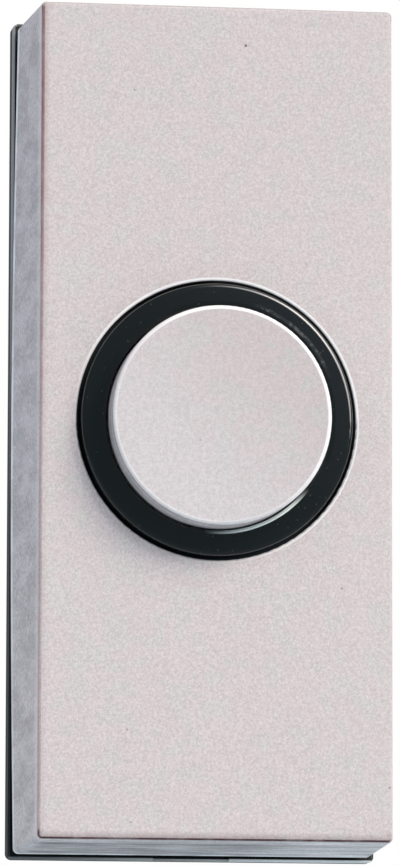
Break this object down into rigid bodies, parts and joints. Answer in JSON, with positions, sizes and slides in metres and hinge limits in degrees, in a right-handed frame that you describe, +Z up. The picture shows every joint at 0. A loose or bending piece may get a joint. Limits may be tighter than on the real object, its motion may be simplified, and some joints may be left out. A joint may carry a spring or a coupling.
{
  "type": "doorbell push button",
  "caption": "Surface-mounted doorbell push: slim upright tapered case over a black base, with a round button proud of a black ring.",
  "frame": {"origin": "centre of the base plate's back face, on the wall", "axes": "+X right, +Z up, +Y into the wall; the button faces -Y"},
  "size_m": [0.0352, 0.0217, 0.0804],
  "materials": {
    "cover_plastic": "pale pinkish grey moulding with a fine spark-eroded grain",
    "button_plastic": "pale moulding, a finer grain than the cover, rubbed smooth at its edge",
    "bezel_plastic": "polished black moulding",
    "base_plastic": "black moulding with a smooth edge and a finely grained back",
    "housing_plastic": "black engineering plastic, satin",
    "spring_steel": "bright drawn spring wire and strip",
    "strip_brass": "rolled brass with pressed edges",
    "contact_silver": "silver contact rivet",
    "plated_steel": "bright zinc plate"
  },
  "bodies": {
    "root": {"front_cover": "cover_plastic", "bezel_ring": "bezel_plastic", "base_plate": "base_plastic", "button_housing": "housing_plastic", "return_spring": "spring_steel", "moving_contact": "strip_brass", "fixed_contact": "strip_brass", "fixed_contact_point": "contact_silver", "contact_rivet_left": "strip_brass", "contact_rivet_right": "strip_brass", "terminal_nut_left": "strip_brass", "terminal_nut_right": "strip_brass", "terminal_screw_left": "plated_steel", "terminal_screw_right": "plated_steel", "terminal_washer_left": "plated_steel", "terminal_washer_right": "plated_steel", "housing_screw_top": "plated_steel", "housing_screw_bottom": "plated_steel"},
    "button": {"push_button": "button_plastic", "retaining_clip": "spring_steel", "moving_contact_point": "contact_silver"}
  },
  "joints": [
    {"name": "button_press", "type": "slide", "parent": "root", "child": "button", "axis": [0, 1, 0], "range_m": [0, 0.0018], "stiffness_N_per_m": 400, "springref_m": -0.004, "deforming": ["return_spring", "moving_contact"]}
  ]
}
